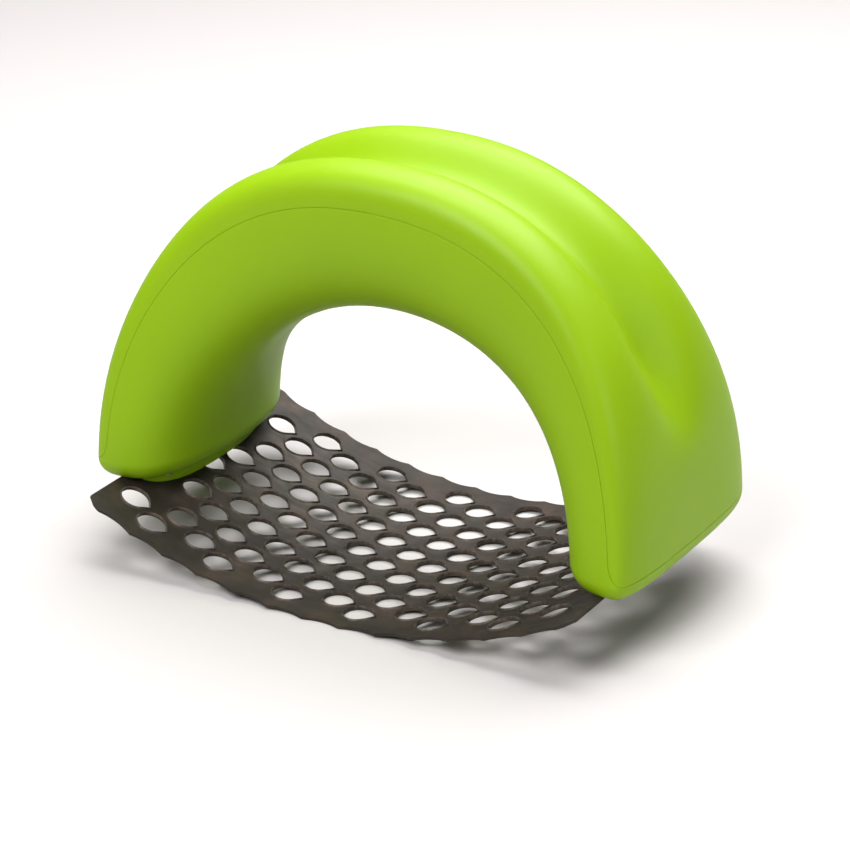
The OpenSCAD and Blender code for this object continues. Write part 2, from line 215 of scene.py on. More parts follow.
def around(phi):
    """Across and up on the unit section, in the direction phi."""
    n = np.where(np.sin(phi) < 0, BELLY, CREST)
    reach = (np.abs(np.cos(phi)) ** n + np.abs(np.sin(phi)) ** n) ** (1 / n)
    return np.cos(phi) / reach, np.sin(phi) / reach


def across_at(up):
    n = np.where(up < 0, BELLY, CREST)
    return (1 - np.abs(up) ** n) ** (1 / n)


def eased(r, d):
    """How deep a rounded edge of radius r lies at distance d from where it ends."""
    left = np.clip(r - d, 0, r)
    return r - np.sqrt(np.maximum(r * r - left * left, 0))


def loft(rings, cap=True):
    """Vertices and faces of a closed skin through rings of equally many points."""
    n = rings.shape[1]
    points = rings.reshape(-1, 3)
    faces = []
    for r in range(len(rings) - 1):
        a = r * n
        faces += [(a + j, a + (j + 1) % n, a + n + (j + 1) % n, a + n + j) for j in range(n)]
    if cap:
        faces.append(tuple(range(n - 1, -1, -1)))
        faces.append(tuple(range((len(rings) - 1) * n, len(rings) * n)))
    return points, faces


def make_piece(name, parts, sharp=50):
    """One mesh object from several closed skins, with outward normals and its sharp edges kept."""
    bm = bmesh.new()
    for points, faces in parts:
        verts = [bm.verts.new(p) for p in points]
        for face in faces:
            bm.faces.new([verts[i] for i in face])
    bmesh.ops.remove_doubles(bm, verts=bm.verts, dist=1e-7)
    big = [f for f in bm.faces if len(f.verts) > 4]
    bmesh.ops.triangulate(bm, faces=big, ngon_method="EAR_CLIP")
    bmesh.ops.recalc_face_normals(bm, faces=bm.faces)
    mesh = bpy.data.meshes.new(name)
    bm.to_mesh(mesh)
    bm.free()
    obj = bpy.data.objects.new(name, mesh)
    bpy.context.scene.collection.objects.link(obj)
    mesh.shade_smooth()
    mesh.set_sharp_from_angle(angle=math.radians(sharp))
    return obj


def settle(obj, slot, material, *nodes):
    """Gives a finished piece its material and its CAD body, and hides the CAD nodes that it stands for."""
    obj.data.materials.clear()
    obj.data.materials.append(material)
    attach(obj, "root")
    if nodes:
        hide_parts(*nodes)


# Materials


def add(tree, kind, values=None, **settings):
    """A node with its settings, and its inputs set to numbers or joined to other nodes' outputs."""
    made = tree.nodes.new(kind)
    for key, value in settings.items():
        setattr(made, key, value)
    for key, value in (values or {}).items():
        socket = made.inputs[key]
        if isinstance(value, bpy.types.NodeSocket):
            tree.links.new(value, socket)
        else:
            socket.default_value = value
    return made


def ramp(tree, source, *stops):
    made = add(tree, "ShaderNodeValToRGB", {"Fac": source})
    for i, (place, value) in enumerate(stops):
        stop = made.color_ramp.elements[i] if i < 2 else made.color_ramp.elements.new(place)
        stop.position = place
        stop.color = (*value, 1) if hasattr(value, "__len__") else (value, value, value, 1)
    return made.outputs["Color"]


def shade(colour, k):
    return tuple(min(1.0, c * k) for c in colour)


def new_material(name):
    made = bpy.data.materials.new(name)
    made.use_nodes = True
    tree = made.node_tree
    place = add(tree, "ShaderNodeTexCoord").outputs["Object"]
    return made, tree, tree.nodes["Principled BSDF"], place


def noise(tree, place, scale, detail=3.0, rough=0.55, stretch=(1, 1, 1)):
    moved = add(tree, "ShaderNodeMapping", {"Vector": place, "Scale": stretch})
    made = add(
        tree,
        "ShaderNodeTexNoise",
        {"Vector": moved.outputs["Vector"], "Scale": scale, "Detail": detail, "Roughness": rough},
    )
    return made.outputs["Fac"]


def spread(tree, source, low, high):
    """Stretches the middle of a noise from low to high."""
    values = {"Value": source, "From Min": 0.3, "From Max": 0.7, "To Min": low, "To Max": high}
    return add(tree, "ShaderNodeMapRange", values).outputs["Result"]


def blend(tree, factor, first, second):
    """The first colour, giving way to the second as the factor grows."""
    values = {"Factor": factor, 6: first, 7: (*second, 1)}
    return add(tree, "ShaderNodeMix", values, data_type="RGBA").outputs[2]


def satin_plastic(colour):
    """Moulded plastic: even colour with a slow drift, and a fine spark-eroded grain."""
    made, tree, shader, place = new_material("satin_plastic")
    drift = noise(tree, place, 28, 2)
    base = ramp(tree, drift, (0.3, shade(colour, 0.95)), (0.7, shade(colour, 1.04)))
    tree.links.new(base, shader.inputs["Base Color"])
    handled = noise(tree, place, 60, 4, 0.6)
    tree.links.new(spread(tree, handled, 0.42, 0.52), shader.inputs["Roughness"])
    grain = noise(tree, place, 2600, 2)
    bump = add(tree, "ShaderNodeBump", {"Height": grain, "Strength": 0.1, "Distance": 0.00004})
    tree.links.new(bump.outputs["Normal"], shader.inputs["Normal"])
    shader.inputs["IOR"].default_value = 1.5
    shader.inputs["Specular IOR Level"].default_value = 0.22
    shader.inputs["Subsurface Weight"].default_value = 0.12
    shader.inputs["Subsurface Radius"].default_value = (0.6, 1.0, 0.15)
    shader.inputs["Subsurface Scale"].default_value = 0.0015
    return made


def dark_steel(colour):
    """Oxidised blade steel: mottled brown and olive, drawn lines along the sheet and brighter worn rims."""
    made, tree, shader, place = new_material("dark_steel")
    patches = noise(tree, place, 130, 5, 0.62)
    brown = ramp(
        tree,
        patches,
        (0.28, shade(colour, 0.45)),
        (0.78, shade((colour[0] * 1.25, colour[1] * 1.1, colour[2]), 2.1)),
        (0.5, colour),
    )
    olive = noise(tree, place, 75, 3)
    tint = ramp(tree, olive, (0.45, 0.0), (0.72, 0.55))
    mixed = blend(tree, tint, brown, shade((colour[0], colour[1] * 1.35, colour[2] * 0.8), 0.9))
    worn = add(tree, "ShaderNodeAttribute", attribute_name="rim_wear").outputs["Fac"]
    speck = ramp(tree, noise(tree, place, 900, 3, 0.7), (0.42, 0.15), (0.62, 1.0))
    bright = add(tree, "ShaderNodeMath", {0: worn, 1: speck}, operation="MULTIPLY").outputs[0]
    tree.links.new(blend(tree, bright, mixed, (0.14, 0.11, 0.085)), shader.inputs["Base Color"])
    shader.inputs["Metallic"].default_value = 0.3
    drawn = noise(tree, place, 900, 3, 0.6, (0.12, 1, 1))
    tree.links.new(spread(tree, drawn, 0.48, 0.68), shader.inputs["Roughness"])
    bump = add(tree, "ShaderNodeBump", {"Height": drawn, "Strength": 0.25, "Distance": 0.00006})
    tree.links.new(bump.outputs["Normal"], shader.inputs["Normal"])
    return made


def zinc(colour):
    """Bright zinc plate on the screws, slightly cloudy."""
    made, tree, shader, place = new_material("zinc")
    cloud = noise(tree, place, 700, 4)
    tree.links.new(ramp(tree, cloud, (0.3, shade(colour, 0.75)), (0.7, colour)), shader.inputs["Base Color"])
    rough = add(tree, "ShaderNodeMapRange", {"Value": cloud, "To Min": 0.22, "To Max": 0.42})
    tree.links.new(rough.outputs["Result"], shader.inputs["Roughness"])
    shader.inputs["Metallic"].default_value = 1.0
    return made


def board_finish(colour):
    made, tree, shader, place = new_material("matt_board")
    soft = noise(tree, place, 3, 2)
    tree.links.new(ramp(tree, soft, (0.3, shade(colour, 0.99)), (0.7, colour)), shader.inputs["Base Color"])
    shader.inputs["Roughness"].default_value = 0.9
    shader.inputs["Specular IOR Level"].default_value = 0.1
    return made


# Handle

SKIN_STEPS, WALL_STEPS, ARCH_STEPS = 92, 22, 200
LIP_STEPS = np.array([0, 0.16, 0.36, 0.64, 1.0])


def ring_angles(arch, foot_end):
    """Arch angles of the rings: close together at each end and where the seam turns, even between."""
    s = arch.s
    first = [arch.angle(s.seam_height + foot_end + s.lip * d) for d in LIP_STEPS]
    heights = np.linspace(s.seam_height + foot_end + s.lip * 1.6, s.seam_height + 2 * s.seam_turn, 18)
    turn = [arch.angle(h) for h in heights]
    half = first + turn
    even = np.linspace(half[-1], np.pi - half[-1], ARCH_STEPS)[1:-1]
    return np.array(half + list(even) + [np.pi - f for f in reversed(half)])


def seam_rows(arch, f, start, way):
    """Section angles of one side's skin from seam to seam, and each point's distance from its lip's edge."""
    s = arch.s
    lip_up = [arch.up_at(f, start + way * s.lip * d) for d in LIP_STEPS]
    phi = [np.arctan2(u, across_at(u)) for u in lip_up]
    low = phi[-1]
    if way > 0:
        middle = [low + (np.pi - 2 * low) * j / SKIN_STEPS for j in range(1, SKIN_STEPS)]
        rows = phi + middle + [np.pi - p for p in reversed(phi)]
    else:
        middle = [np.pi - low + (np.pi + 2 * low) * j / SKIN_STEPS for j in range(1, SKIN_STEPS)]
        rows = [np.pi - p for p in phi] + middle + [2 * np.pi + p for p in reversed(phi)]
    away = list(LIP_STEPS) + [9.0] * (SKIN_STEPS - 1) + list(LIP_STEPS[::-1])
    return np.array(rows).T, np.array(away) * s.lip


def outer_rings(arch):
    s = arch.s
    half_gap = s.seam_gap / 2
    f = ring_angles(arch, half_gap)[:, None]
    rise = arch.seam_rise(f[:, 0])
    phi, away = seam_rows(arch, f[:, 0], rise + half_gap, 1)
    end = np.minimum(f, np.pi - f)
    gone = (s.rise * rounded(np.sin(end), ARCH_OUT)) - (s.seam_height + half_gap)
    sink = eased(s.lip, np.minimum(away[None, :], np.maximum(gone, 0)))
    across, up = around(phi)
    skin = arch.skin(f, across, up, sink)

    def at(d, sign, depth):
        u = arch.up_at(f, rise[:, None] + d)
        return arch.skin(f, sign * across_at(u), u, depth)

    deep = s.tongue + TONGUE_GAP
    step = arch.up_at(f, rise[:, None] + deep + 0.5 * MM)
    low = np.arctan2(step, across_at(step))
    back = np.pi - low - (np.pi - 2 * low) * np.linspace(0, 1, WALL_STEPS)[None, :]
    return np.concatenate(
        [
            skin,
            at(half_gap, -1, s.wall / 2),
            at(deep, -1, s.wall / 2),
            arch.skin(f, *around(back), s.wall),
            at(deep, 1, s.wall / 2),
            at(half_gap, 1, s.wall / 2),
        ],
        1,
    )


def inner_rings(arch):
    """Rings of the inner shell: whole sections through a foot's floor, then open ones with their tongues."""
    s = arch.s
    half_gap = s.seam_gap / 2
    f = ring_angles(arch, -half_gap)
    rise = arch.seam_rise(f)
    phi, away = seam_rows(arch, f, rise - half_gap, -1)
    skin = arch.skin(f[:, None], *around(phi), eased(s.lip, away[None, :]))
    count = 6 + WALL_STEPS
    depth = s.wall / 2 + TONGUE_GAP

    def at(d, sign, deep):
        u = arch.up_at(f, rise + d)[:, None]
        return arch.skin(f[:, None], sign * across_at(u), u, deep)

    edge = arch.up_at(f, rise - half_gap)
    low = np.arctan2(edge, across_at(edge))[:, None]
    back = 2 * np.pi + low - (np.pi + 2 * low) * np.linspace(0.01, 0.99, WALL_STEPS)[None, :]
    body = np.concatenate(
        [
            skin,
            at(-half_gap, 1, depth),
            at(s.tongue, 1, depth),
            at(s.tongue, 1, s.wall),
            arch.skin(f[:, None], *around(back), s.wall),
            at(s.tongue, -1, s.wall),
            at(s.tongue, -1, depth),
            at(-half_gap, -1, depth),
        ],
        1,
    )
    top = s.seam_height - half_gap
    heights = [0, 0.02, 0.08, 0.2, 0.4, 0.7, 1.1, 1.6, 2.2, 2.8]
    heights = [h * MM for h in heights if h * MM < top - s.lip] + [top - s.lip * d for d in LIP_STEPS[::-1]]
    phi_end = phi[0]
    turn = np.concatenate([phi_end, np.linspace(phi_end[-1], phi_end[0] + 2 * np.pi, count + 2)[1:-1]])
    crest_side = np.concatenate([away < s.lip, np.ones(count, bool)])
    floor = []
    for h in heights:
        sink = np.where(crest_side, eased(s.lip, top - h), 0.0)
        floor.append(arch.skin(arch.angle(h), *around(turn), sink))
    floor = np.array(floor)
    mirrored = floor[::-1].copy()
    mirrored[..., 0] *= -1
    return np.concatenate([floor, body, mirrored])


def foot_pad(arch, blade, side):
    """The pad under a foot, whose lower face follows the blade."""
    s = arch.s
    count = 80
    phi = (np.arange(count) + 0.5) * 2 * np.pi / count
    top = arch.skin(0.0, *around(phi), PAD_INSET)
    top[:, 0] = np.minimum(top[:, 0], blade.reach - PAD_INSET)
    low = top.copy()
    top[:, 2] = s.lift + 0.3 * MM
    radius = blade.radius - blade.sheet / 2 - 0.02 * MM
    low[:, 2] = blade.radius + blade.sheet / 2 - np.sqrt(radius**2 - low[:, 0] ** 2)
    rings = np.array([top, low])
    if side < 0:
        rings[..., 0] *= -1
    points, faces = loft(rings, cap=False)
    # Strips across the pad join the front and back points that lie at the same place along the handle.
    for k in range(-count // 4, count // 4 - 1):
        front, back = k % count, (count // 2 - 1 - k) % count
        front_next, back_next = (k + 1) % count, (count // 2 - 2 - k) % count
        faces.append((front, front_next, back_next, back))
        faces.append((count + back, count + back_next, count + front_next, count + front))
    return points, faces


def rib(arch, f, low, high):
    """One stiffening rib: a slice of the section that stands in from the wall."""
    s = arch.s
    phi = np.linspace(low, high, 25)
    rings = []
    for df in (-0.014, 0.014):
        a = arch.skin(f + df, *around(phi), s.wall * 0.75)
        b = arch.skin(f + df, *around(phi[::-1]), s.wall + RIB_DEPTH)
        rings.append(np.concatenate([a, b]))
    return loft(np.array(rings))


RIB_ANGLES = [math.radians(a) for a in (32, 70, 110, 148)]


class PRESS_OT_outer_shell(Operator):
    """Build the outer shell of the handle, with its palm groove, seam lips and ribs"""

    bl_idname = "press.outer_shell"
    bl_label = "Outer shell"

    def execute(self, context):
        settings = context.scene.press
        arch = Arch(settings.handle)
        parts = [loft(outer_rings(arch))]
        parts += [rib(arch, f, math.radians(35), math.radians(145)) for f in RIB_ANGLES]
        obj = make_piece("handle_outer_shell", parts)
        settle(obj, "handle_plastic", plastic_for(settings), "outer_shell")
        return {"FINISHED"}


class PRESS_OT_inner_shell(Operator):
    """Build the inner shell of the handle, with both feet and the pads that hold the blade"""

    bl_idname = "press.inner_shell"
    bl_label = "Inner shell"

    def execute(self, context):
        settings = context.scene.press
        arch = Arch(settings.handle)
        parts = [loft(inner_rings(arch))]
        parts += [foot_pad(arch, settings.blade, side) for side in (1, -1)]
        parts += [rib(arch, f, math.radians(195), math.radians(345)) for f in RIB_ANGLES]
        obj = make_piece("handle_inner_shell", parts)
        settle(obj, "handle_plastic", plastic_for(settings), "inner_shell")
        return {"FINISHED"}


def plastic_for(settings):
    return bpy.data.materials.get("satin_plastic") or satin_plastic(settings.finish.plastic)


# Blade

RIM_SIDES = 28
# Lattice points tried along each of its two directions, and the collar of steel that belongs to each hole.
LATTICE_POINTS = 41
COLLAR = 0.52 * MM


def tooth_edge(blade, angle):
    """Distance from a hole's centre to its edge: a circle with a pointed notch towards +X."""
    r = blade.hole / 2
    tip, half = r + blade.notch, math.radians(30)
    turn = np.abs((angle + np.pi) % (2 * np.pi) - np.pi)
    side = np.array([tip, 0.0]), np.array([r * math.cos(half), r * math.sin(half)])
    d = side[1] - side[0]
    normal = np.array([d[1], -d[0]])
    straight = normal @ side[0] / (normal[0] * np.cos(turn) + normal[1] * np.sin(turn))
    return np.where(turn < half, straight, r)


def rim_mesh(blade, outline):
    """One punched hole: sheet out to the collar, a raised rim, the wall through the steel and the burr."""
    angle = np.arange(RIM_SIDES) * 2 * np.pi / RIM_SIDES
    edge = tooth_edge(blade, angle)
    t, h = blade.sheet / 2, blade.rim
    profile = [
        (0.0, t, 0.0),
        (0.45, t + 0.15 * h, 0.2),
        (0.75, t + 0.8 * h, 0.7),
        (0.95, t + h, 1.0),
        (1.0, t + 0.8 * h, 0.8),
        (1.0, -t + 0.05 * MM, 0.1),
        (0.93, -t, 0.1),
        (0.0, -t, 0.0),
    ]
    rows = []
    for share, z, _ in profile:
        r = outline + (edge - outline) * share
        rows.append(np.stack([r * np.cos(angle), r * np.sin(angle), np.full(RIM_SIDES, z)], -1))
    points = np.concatenate(rows)
    n = RIM_SIDES
    faces = [
        (k * n + j, k * n + (j + 1) % n, (k + 1) * n + (j + 1) % n, (k + 1) * n + j)
        for k in range(len(profile) - 1)
        for j in range(n)
    ]
    mesh = bpy.data.meshes.new("punched_hole")
    mesh.from_pydata(points.tolist(), [], faces)
    wear = mesh.attributes.new("rim_wear", "FLOAT", "POINT")
    wear.data.foreach_set("value", np.repeat([w for _, _, w in profile], n).astype(np.float32))
    return bpy.data.objects.new("punched_hole", mesh)


def sheet_outline(blade, arc):
    """Flat outline of the sheet: waved long edges, straight ends and chamfered corners."""
    column_turn = math.asin(2 * math.sin(blade.row_turn))
    wave_pitch = blade.pitch * (2 * math.cos(blade.row_turn) + math.cos(column_turn)) / 2
    half = blade.depth / 2
    round_r = (wave_pitch**2 / 4 + blade.wave**2) / (2 * blade.wave)
    s = np.linspace(-arc + blade.chamfer, arc - blade.chamfer, 181)
    from_mid = (s + wave_pitch / 2) % wave_pitch - wave_pitch / 2
    y = half - (np.sqrt(round_r**2 - from_mid**2) - (round_r - blade.wave))
    y = np.minimum(y, half)
    end = np.linspace(half - blade.chamfer, -half + blade.chamfer, 61)
    side = np.stack([s, -y], -1)
    points = np.concatenate(
        [side, np.stack([np.full(61, arc), -end], -1), -side, np.stack([np.full(61, -arc), end], -1)]
    )
    mesh = bpy.data.meshes.new("sheet_outline")
    n = len(points)
    mesh.from_pydata([(x, y, 0) for x, y in points], [(i, (i + 1) % n) for i in range(n)], [])
    return bpy.data.objects.new("blade_sheet", mesh)


def new_tree(name, objects=(), vectors=(), numbers=()):
    """An empty tree that takes and gives geometry and takes the named inputs, and its input sockets."""
    tree = bpy.data.node_groups.new(name, "GeometryNodeTree")
    face = tree.interface
    face.new_socket("Geometry", in_out="INPUT", socket_type="NodeSocketGeometry")
    face.new_socket("Geometry", in_out="OUTPUT", socket_type="NodeSocketGeometry")
    for names, kind in ((objects, "Object"), (vectors, "Vector"), (numbers, "Float")):
        for label in names:
            face.new_socket(label, in_out="INPUT", socket_type="NodeSocket" + kind)
    return tree, tree.nodes.new("NodeGroupInput").outputs


def calculator(tree):
    """A short way to write one tree's sums."""

    def work(kind, a, b=0.0):
        return add(tree, "ShaderNodeMath", {0: a, 1: b}, operation=kind).outputs[0]

    return work


def combined(tree, **axes):
    return add(tree, "ShaderNodeCombineXYZ", axes).outputs[0]


def separated(tree, vector):
    return add(tree, "ShaderNodeSeparateXYZ", {0: vector}).outputs


def position(tree):
    return add(tree, "GeometryNodeInputPosition").outputs[0]


def blade_tree(material):
    """Tree that fills an outline, leaves the lattice of punched holes open and bends it about the Y axis."""
    tree, given = new_tree(
        "perforated_blade",
        ("Hole",),
        ("Row step", "Column step", "First hole", "Screw place"),
        ("Sheet", "Radius", "Collar", "Limit along", "Limit across", "Screw clearance", "Screw spread"),
    )
    math_node = calculator(tree)

    def vector_node(kind, a, b=None, scale=None):
        values = {0: a}
        if b is not None:
            values[1] = b
        made = add(tree, "ShaderNodeVectorMath", values, operation=kind)
        if scale is not None:
            tree.links.new(scale, made.inputs["Scale"])
        return made.outputs["Vector"]

    count = LATTICE_POINTS
    grid = add(
        tree,
        "GeometryNodeMeshGrid",
        {"Size X": count - 1.0, "Size Y": count - 1.0, "Vertices X": count, "Vertices Y": count},
    )
    points = add(tree, "GeometryNodeMeshToPoints", {"Mesh": grid.outputs["Mesh"]})
    step = separated(tree, position(tree))
    along_rows = vector_node("SCALE", given["Row step"], scale=step[0])
    along_columns = vector_node("SCALE", given["Column step"], scale=step[1])
    place = vector_node("ADD", vector_node("ADD", along_rows, along_columns), given["First hole"])
    placed = add(tree, "GeometryNodeSetPosition", {"Geometry": points.outputs[0], "Position": place})
    at = separated(tree, position(tree))
    screw = separated(tree, given["Screw place"])
    along, across = math_node("ABSOLUTE", at[0]), math_node("ABSOLUTE", at[1])
    from_row = math_node("SUBTRACT", along, screw[0])
    from_mid = math_node("ABSOLUTE", math_node("SUBTRACT", at[1], screw[1]))
    from_side = math_node("SUBTRACT", from_mid, given["Screw spread"])
    squares = [math_node("MULTIPLY", d, d) for d in (from_row, from_side)]
    away = math_node("SQRT", math_node("ADD", *squares))
    past_end = math_node("GREATER_THAN", along, given["Limit along"])
    past_edge = math_node("GREATER_THAN", across, given["Limit across"])
    at_screw = math_node("LESS_THAN", away, given["Screw clearance"])
    outside = math_node("MAXIMUM", math_node("MAXIMUM", past_end, past_edge), at_screw)
    chosen = {"Geometry": placed.outputs[0], "Selection": outside}
    kept = add(tree, "GeometryNodeDeleteGeometry", chosen, domain="POINT")

    ring = add(tree, "GeometryNodeCurvePrimitiveCircle", {"Resolution": RIM_SIDES, "Radius": given["Collar"]})
    around_holes = {"Points": kept.outputs[0], "Instance": ring.outputs[0]}
    rings = add(tree, "GeometryNodeInstanceOnPoints", around_holes)
    real_rings = add(tree, "GeometryNodeRealizeInstances", {"Geometry": rings.outputs[0]})
    border = add(tree, "GeometryNodeMeshToCurve", {"Mesh": given["Geometry"]})
    curves = add(tree, "GeometryNodeJoinGeometry")
    tree.links.new(border.outputs[0], curves.inputs[0])
    tree.links.new(real_rings.outputs[0], curves.inputs[0])
    flat = add(tree, "GeometryNodeFillCurve", {"Curve": curves.outputs[0]})
    half = math_node("MULTIPLY", given["Sheet"], 0.5)
    up = combined(tree, Z=half)
    down = combined(tree, Z=math_node("MULTIPLY", half, -1.0))
    top = add(tree, "GeometryNodeSetPosition", {"Geometry": flat.outputs[0], "Offset": up})
    flipped = add(tree, "GeometryNodeFlipFaces", {"Mesh": flat.outputs[0]})
    bottom = add(tree, "GeometryNodeSetPosition", {"Geometry": flipped.outputs[0], "Offset": down})
    lowered = add(tree, "GeometryNodeSetPosition", {"Geometry": given["Geometry"], "Offset": down})
    raised = {"Mesh": lowered.outputs[0], "Offset": combined(tree, Z=1.0), "Offset Scale": given["Sheet"]}
    wall = add(tree, "GeometryNodeExtrudeMesh", raised, mode="EDGES")
    hole = add(tree, "GeometryNodeObjectInfo", {"Object": given["Hole"]})
    in_holes = {"Points": kept.outputs[0], "Instance": hole.outputs["Geometry"]}
    holes = add(tree, "GeometryNodeInstanceOnPoints", in_holes)
    whole = add(tree, "GeometryNodeJoinGeometry")
    for part in (top, bottom, wall, holes):
        tree.links.new(part.outputs[0], whole.inputs[0])
    real = add(tree, "GeometryNodeRealizeInstances", {"Geometry": whole.outputs[0]})
    merged = add(tree, "GeometryNodeMergeByDistance", {"Geometry": real.outputs[0], "Distance": 2e-6})
    flat_at = separated(tree, position(tree))
    turn = math_node("DIVIDE", flat_at[0], given["Radius"])
    reach = math_node("SUBTRACT", given["Radius"], flat_at[2])
    drop = math_node("MULTIPLY", reach, math_node("COSINE", turn))
    bent = combined(
        tree,
        X=math_node("MULTIPLY", reach, math_node("SINE", turn)),
        Y=flat_at[1],
        Z=math_node("SUBTRACT", math_node("ADD", given["Radius"], half), drop),
    )
    curved = add(tree, "GeometryNodeSetPosition", {"Geometry": merged.outputs[0], "Position": bent})
    finish = add(tree, "GeometryNodeSetMaterial", {"Geometry": curved.outputs[0], "Material": material})
    out = tree.nodes.new("NodeGroupOutput")
    tree.links.new(finish.outputs[0], out.inputs[0])
    return tree


def bake(obj, tree, values, name):
    """Runs a tree on an object, with inputs set by name, and returns the result as a plain mesh object."""
    bpy.context.scene.collection.objects.link(obj)
    mod = obj.modifiers.new("shape", "NODES")
    mod.node_group = tree
    sockets = {i.name: i.identifier for i in tree.interface.items_tree if i.in_out == "INPUT"}
    for key, value in values.items():
        mod[sockets[key]] = value
    bpy.context.view_layer.update()
    graph = bpy.context.evaluated_depsgraph_get()
    mesh = bpy.data.meshes.new_from_object(obj.evaluated_get(graph), depsgraph=graph)
    obj.modifiers.remove(mod)
    bpy.data.objects.remove(obj)
    mesh.name = name
    made = bpy.data.objects.new(name, mesh)
    bpy.context.scene.collection.objects.link(made)
    return made


def tidy_normals(obj, sharp):
    bm = bmesh.new()
    bm.from_mesh(obj.data)
    bmesh.ops.remove_doubles(bm, verts=bm.verts, dist=1e-7)
    bmesh.ops.recalc_face_normals(bm, faces=bm.faces)
    bm.to_mesh(obj.data)
    bm.free()
    obj.data.shade_smooth()
    obj.data.set_sharp_from_angle(angle=math.radians(sharp))


class PRESS_OT_blade(Operator):
    """Build the curved blade with its lattice of punched, toothed holes and waved edges"""

    bl_idname = "press.blade"
    bl_label = "Blade"

    def execute(self, context):
        settings = context.scene.press
        blade = settings.blade
        material = dark_steel(settings.finish.steel)
        arc = blade.radius * math.asin(blade.reach / blade.radius)
        row, column = blade.row_turn, math.asin(2 * math.sin(blade.row_turn))
        collar = blade.hole / 2 + COLLAR
        hole = rim_mesh(blade, collar)
        context.scene.collection.objects.link(hole)
        obj = bake(
            sheet_outline(blade, arc),
            blade_tree(material),
            {
                "Hole": hole,
                "Row step": (blade.pitch * math.cos(row), -blade.pitch * math.sin(row), 0.0),
                "Column step": (blade.pitch * math.cos(column), blade.pitch * math.sin(column), 0.0),
                "First hole": (0.2 * MM, -0.2 * MM, 0.0),
                "Screw place": (arc - BLADE_SCREW_EDGE, settings.handle.back, 0.0),
                "Screw spread": BLADE_SCREW_SPREAD,
                "Screw clearance": blade.hole / 2 + blade.notch + 2.0 * MM,
                "Sheet": blade.sheet,
                "Radius": blade.radius,
                "Collar": collar,
                "Limit along": arc - blade.hole / 2 - 0.5 * MM,
                "Limit across": blade.depth / 2 - blade.wave - blade.hole / 2 - blade.strip,
            },
            "blade",
        )
        bpy.data.objects.remove(hole)
        tidy_normals(obj, 35)
        obj.name = "perforated_blade"
        settle(obj, "blade_steel", material, "blade")
        return {"FINISHED"}


# Screws


def screw_tree(material, sides):
    """Tree that makes one threaded, cross-recessed screw and puts it on every point, turned about Y."""
    tree, given = new_tree("screws", numbers=("Shank", "Length", "Head width", "Head height", "Thread pitch"))
    math_node = calculator(tree)

    def part_of(value, share):
        return math_node("MULTIPLY", value, share)

    def moved(geometry, z):
        offset = {"Geometry": geometry, "Translation": combined(tree, Z=z)}
        return add(tree, "GeometryNodeTransform", offset).outputs[0]

    def cylinder(points, radius, depth):
        values = {"Vertices": points, "Radius": radius, "Depth": depth}
        return add(tree, "GeometryNodeMeshCylinder", values).outputs["Mesh"]

    def cone(points, top, bottom, depth):
        values = {"Vertices": points, "Radius Top": top, "Radius Bottom": bottom, "Depth": depth}
        return add(tree, "GeometryNodeMeshCone", values).outputs["Mesh"]

    half_shank = part_of(given["Shank"], 0.5)
    core = part_of(half_shank, 0.8)
    body = math_node("SUBTRACT", given["Length"], given["Shank"])
    shank = cylinder(sides, core, body)
    tip = cone(sides, part_of(half_shank, 0.25), core, given["Shank"])

    width, height = given["Head width"], given["Head height"]
    head_r, rim = part_of(width, 0.5), part_of(height, 0.6)
    head = cylinder(sides * 2, head_r, rim)
    crown = cone(sides * 2, head_r, part_of(head_r, 0.82), part_of(height, 0.4))
    solid = add(tree, "GeometryNodeMeshBoolean", operation="UNION")
    for part in (moved(head, part_of(rim, -0.5)), moved(crown, part_of(height, -0.8))):
        tree.links.new(part, solid.inputs["Mesh 2"])
    arm, slot = part_of(width, 0.56), part_of(width, 0.13)
    cuts = add(tree, "GeometryNodeMeshBoolean", {"Mesh 1": solid.outputs[0]}, operation="DIFFERENCE")
    for a, b in ((arm, slot), (slot, arm)):
        cube = add(tree, "GeometryNodeMeshCube", {"Size": combined(tree, X=a, Y=b, Z=height)}).outputs["Mesh"]
        tree.links.new(moved(cube, part_of(height, -0.95)), cuts.inputs["Mesh 2"])

    threaded = part_of(body, 0.8)
    winding = {
        "Resolution": sides,
        "Rotations": math_node("DIVIDE", threaded, given["Thread pitch"]),
        "Start Radius": core,
        "End Radius": core,
        "Height": threaded,
    }
    spiral = moved(add(tree, "GeometryNodeCurveSpiral", winding).outputs[0], part_of(body, 0.18))
    ridge = {"Resolution": 4, "Radius": part_of(half_shank, 0.19)}
    shape = add(tree, "GeometryNodeCurvePrimitiveCircle", ridge).outputs[0]
    swept = {"Curve": spiral, "Profile Curve": shape, "Fill Caps": True}
    thread = add(tree, "GeometryNodeCurveToMesh", swept).outputs[0]

    whole = add(tree, "GeometryNodeJoinGeometry")
    for part in (cuts.outputs[0], moved(shank, part_of(body, 0.5)), moved(tip, body), thread):
        tree.links.new(part, whole.inputs[0])
    turn = add(tree, "GeometryNodeInputNamedAttribute", {"Name": "turn"}, data_type="FLOAT")
    stood = {
        "Points": given["Geometry"],
        "Instance": whole.outputs[0],
        "Rotation": combined(tree, Y=turn.outputs["Attribute"]),
    }
    placed = add(tree, "GeometryNodeInstanceOnPoints", stood)
    real = add(tree, "GeometryNodeRealizeInstances", {"Geometry": placed.outputs[0]})
    finish = add(tree, "GeometryNodeSetMaterial", {"Geometry": real.outputs[0], "Material": material})
    tree.links.new(finish.outputs[0], tree.nodes.new("NodeGroupOutput").inputs[0])
    return tree


def screw_points(name, places, turns):
    mesh = bpy.data.meshes.new(name)
    mesh.from_pydata(places, [], [])
    mesh.attributes.new("turn", "FLOAT", "POINT").data.foreach_set("value", turns)
    return bpy.data.objects.new(name, mesh)


